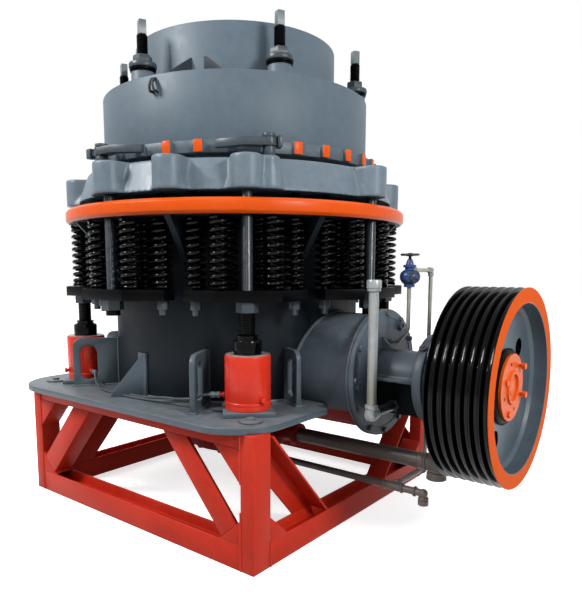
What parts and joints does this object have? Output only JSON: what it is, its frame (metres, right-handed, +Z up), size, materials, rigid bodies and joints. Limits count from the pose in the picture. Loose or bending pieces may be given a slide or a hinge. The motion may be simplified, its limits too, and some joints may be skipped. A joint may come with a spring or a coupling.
{
  "type": "cone crusher",
  "caption": "Spring cone crusher with feed hopper, adjustment ring, release springs and jacks, grooved drive pulley and oil pipes, on a welded beam stand.",
  "frame": {"origin": "on the floor, on the upright axis of the crushing cone and hopper, midway between the stand's sides", "axes": "+Z up along the crusher's axis, +X along the countershaft towards the drive pulley, +Y to its left"},
  "size_m": [2.5878, 1.9038, 2.47],
  "materials": {
    "stand_red": "semi-gloss enamel on rolled steel",
    "machine_grey": "semi-gloss blue-grey machine enamel",
    "underside_red": "red primer coat on cast steel",
    "signal_orange": "gloss orange enamel",
    "jack_red": "gloss red enamel",
    "black_paint": "gloss black enamel",
    "pulley_paint": "gloss black grooves, orange rim face, grey web",
    "bare_shaft": "ground steel",
    "manganese_steel": "raw manganese steel casting",
    "dull_pipe": "dull brown-grey primed pipe",
    "zinc_pipe": "galvanised pipe",
    "valve_blue": "blue valve enamel",
    "wheel_black": "black cast handwheel"
  },
  "bodies": {
    "main_frame": {"base_plate": "machine_grey", "bearing_housing": "machine_grey", "cone_head": "manganese_steel", "countershaft_housing": "machine_grey", "end_diagonals": "stand_red", "end_gussets": "stand_red", "end_sills": "stand_red", "end_top_rail": "stand_red", "feed_plate": "manganese_steel", "filler_pipe": "zinc_pipe", "frame_hub": "underside_red", "hold_down_bolts": "machine_grey", "housing_cover": "machine_grey", "hub_arms": "underside_red", "hub_cover": "underside_red", "jack_bases": "machine_grey", "jack_cylinders": "jack_red", "main_frame_ring": "signal_orange", "main_shell": "machine_grey", "mantle": "manganese_steel", "oil_valve": "valve_blue", "return_pipe": "dull_pipe", "ring_ribs": "machine_grey", "shaft_tube": "machine_grey", "shell_braces": "machine_grey", "side_diagonals": "stand_red", "side_gussets": "stand_red", "side_sills": "stand_red", "side_top_rails": "stand_red", "slotted_lugs": "machine_grey", "springs": "black_paint", "stand_posts": "stand_red", "supply_pipe": "dull_pipe", "valve_pipes": "zinc_pipe"},
    "countershaft": {"countershaft": "bare_shaft", "pulley": "pulley_paint", "lock_disc": "signal_orange"},
    "upper_works": {"adjustment_ring": "machine_grey", "bowl": "machine_grey", "bowl_liner": "manganese_steel", "tooth_ring": "machine_grey", "cap_drum": "machine_grey", "hopper": "machine_grey", "hopper_gussets": "machine_grey", "lifting_lug": "machine_grey", "bowl_bolts": "black_paint", "spring_bolts": "black_paint", "spring_seats": "black_paint", "pawl_pins": "machine_grey"},
    "rams": {"jack_rams": "black_paint"},
    "left_pawl": {"left_pawl": "machine_grey"},
    "right_pawl": {"right_pawl": "machine_grey"},
    "handwheel": {"handwheel": "wheel_black"}
  },
  "joints": [
    {"name": "pulley_spin", "type": "hinge", "parent": "main_frame", "child": "countershaft", "pos_m": [1.5, 0, 0.768], "axis": [1, 0, 0], "continuous": true},
    {"name": "ring_lift", "type": "slide", "parent": "main_frame", "child": "upper_works", "axis": [0, 0, 1], "range_m": [0, 0.06], "deforming": ["springs"]},
    {"name": "ram_lift", "type": "slide", "parent": "main_frame", "child": "rams", "axis": [0, 0, 1], "range_m": [0, 0.06]},
    {"name": "left_pawl_swing", "type": "hinge", "parent": "upper_works", "child": "left_pawl", "pos_m": [-0.08224, -0.85405, 1.82], "axis": [0, 0, 1], "range_deg": [-20, 0]},
    {"name": "right_pawl_swing", "type": "hinge", "parent": "upper_works", "child": "right_pawl", "pos_m": [0.67334, -0.53177, 1.82], "axis": [0, 0, 1], "range_deg": [0, 20]},
    {"name": "valve_turn", "type": "hinge", "parent": "main_frame", "child": "handwheel", "pos_m": [1.1, -0.012, 1.34], "axis": [0, 0, 1], "range_deg": [0, 900]}
  ],
  "couplings": [
    {"joint": "ram_lift", "follows": "ring_lift", "ratio": 1}
  ]
}
